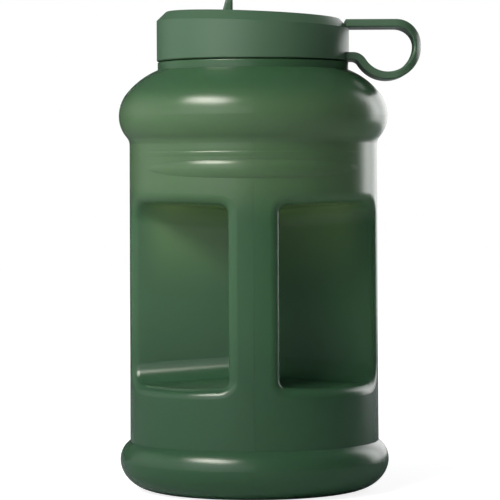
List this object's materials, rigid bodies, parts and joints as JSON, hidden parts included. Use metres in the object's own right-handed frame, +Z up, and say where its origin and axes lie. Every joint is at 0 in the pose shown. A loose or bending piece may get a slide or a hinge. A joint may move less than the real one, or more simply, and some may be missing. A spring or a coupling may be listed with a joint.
{
  "type": "large water jug",
  "caption": "Wide blow-moulded water jug with a see-through side grip, screw lid, carry loop and flip-cap spout.",
  "frame": {"origin": "point on the jug's axis, level with the foot ring it stands on", "axes": "+Z up along the jug's axis, +X towards the carry loop, -Y towards the grip post"},
  "size_m": [0.151, 0.1344, 0.2454],
  "materials": {
    "bottle": "satin moulded surface",
    "lid": "fine satin moulded surface",
    "liner": "plain moulded surface",
    "seal": "smooth silicone",
    "pin": "drawn wire"
  },
  "bodies": {
    "jug": {"jug_body": "bottle"},
    "seal": {"lid_gasket": "seal"},
    "lid": {"lid_shell": "lid", "lid_liner": "liner", "hinge_pin": "pin", "vent_valve": "seal"},
    "flip": {"flip_cap": "lid", "cap_plug": "seal"}
  },
  "joints": [
    {"name": "lid_rise", "type": "slide", "parent": "jug", "child": "seal", "axis": [0, 0, 1], "range_m": [0, 0.0241]},
    {"name": "lid_turn", "type": "hinge", "parent": "seal", "child": "lid", "pos_m": [0, 0, 0.2137], "axis": [0, 0, 1], "range_deg": [0, 1440]},
    {"name": "flip", "type": "hinge", "parent": "lid", "child": "flip", "pos_m": [0.02692, 0, 0.23412], "axis": [0, 1, 0], "range_deg": [0, 130]}
  ],
  "couplings": [
    {"joint": "lid_rise", "follows": "lid_turn", "m_per_rad": 0.00095493}
  ]
}
